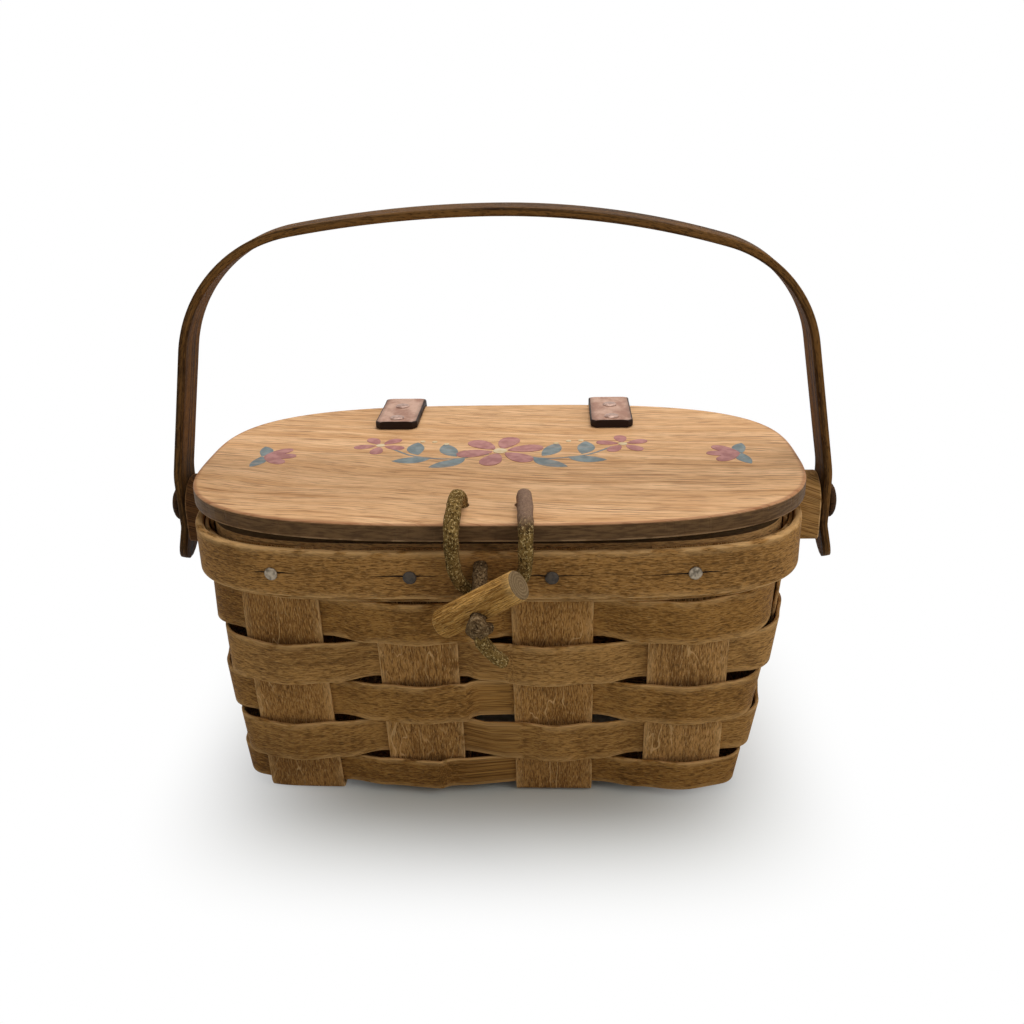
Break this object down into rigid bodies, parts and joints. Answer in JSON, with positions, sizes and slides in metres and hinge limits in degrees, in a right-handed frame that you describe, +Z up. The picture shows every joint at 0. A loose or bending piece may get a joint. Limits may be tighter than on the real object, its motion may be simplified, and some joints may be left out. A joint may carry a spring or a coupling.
{
  "type": "picnic basket",
  "caption": "Small splint-woven picnic basket with a wooden lid on leather hinges, a swinging bentwood handle and a suede loop that closes over a wooden toggle.",
  "frame": {"origin": "on the standing surface, under the middle of the basket's box; the thong loop and the toggle are left out of that box", "axes": "+X along the basket to its right end, +Y from the toggle's side to the lid hinges, +Z up"},
  "size_m": [0.2362, 0.1522, 0.1945],
  "materials": {
    "stake_wood": "stained splint, satin, fine grain along the splint",
    "weaver_wood": "stained splint, satin, fine grain along the splint",
    "rim_wood": "stained, satin, fine grain along the band",
    "handle_wood": "dark stained bentwood, satin",
    "lid_wood": "oiled oak, satin, grain along the length",
    "toggle_wood": "turned dowel, satin",
    "strap_leather": "reddish brown saddle leather, satin",
    "suede": "olive brown suede, matte",
    "nail_steel": "dull steel",
    "rivet_bronze": "dark bronzed",
    "pivot_dark": "dark brown, satin"
  },
  "bodies": {
    "basket": {"cross_stake_1": "stake_wood", "cross_stake_2": "stake_wood", "cross_stake_3": "stake_wood", "cross_stake_4": "stake_wood", "long_stake_1": "stake_wood", "long_stake_2": "stake_wood", "weaver_1": "weaver_wood", "weaver_2": "weaver_wood", "weaver_3": "weaver_wood", "weaver_4": "weaver_wood", "weaver_5": "weaver_wood", "outer_rim_band": "rim_wood", "under_rim_band": "rim_wood", "inner_rim_band": "rim_wood", "rim_nail_01": "nail_steel", "rim_nail_02": "nail_steel", "rim_nail_03": "nail_steel", "rim_nail_04": "nail_steel", "rim_nail_05": "nail_steel", "rim_nail_06": "nail_steel", "rim_nail_07": "nail_steel", "rim_nail_08": "nail_steel", "rim_nail_09": "nail_steel", "rim_nail_10": "nail_steel", "rim_nail_11": "nail_steel", "rim_nail_12": "nail_steel", "handle_ear_left": "rim_wood", "handle_ear_right": "rim_wood", "handle_rivet_left": "pivot_dark", "handle_rivet_right": "pivot_dark", "handle_washer_left": "nail_steel", "handle_washer_right": "nail_steel", "hinge_strap_left": "strap_leather", "hinge_strap_right": "strap_leather", "rim_rivet_left_low": "rivet_bronze", "rim_rivet_left_high": "rivet_bronze", "rim_rivet_right_low": "rivet_bronze", "rim_rivet_right_high": "rivet_bronze", "toggle_thong": "suede"},
    "handle": {"handle": "handle_wood"},
    "lid": {"lid": "lid_wood", "lid_rivet_left_front": "rivet_bronze", "lid_rivet_left_back": "rivet_bronze", "lid_rivet_right_front": "rivet_bronze", "lid_rivet_right_back": "rivet_bronze", "loop_knot_left": "suede", "loop_knot_right": "suede"},
    "loop": {"lid_loop": "suede"},
    "toggle": {"toggle": "toggle_wood"}
  },
  "joints": [
    {"name": "handle_swing", "type": "hinge", "parent": "basket", "child": "handle", "pos_m": [0, -0.00233, 0.092], "axis": [1, 0, 0], "range_deg": [-140, 140]},
    {"name": "lid_hinge", "type": "hinge", "parent": "basket", "child": "lid", "pos_m": [0, 0.06197, 0.1027], "axis": [-1, 0, 0], "range_deg": [0, 30], "deforming": ["hinge_strap_left", "hinge_strap_right", "lid_loop"]},
    {"name": "loop_swing", "type": "hinge", "parent": "lid", "child": "loop", "pos_m": [0, -0.0528, 0.1105], "axis": [-1, 0, 0], "range_deg": [0, 140], "deforming": ["lid_loop"]},
    {"name": "toggle_turn", "type": "hinge", "parent": "basket", "child": "toggle", "pos_m": [-0.0029, -0.07573, 0.088], "axis": [0.0234, -0.8808, -0.4729], "range_deg": [-90, 90]}
  ]
}
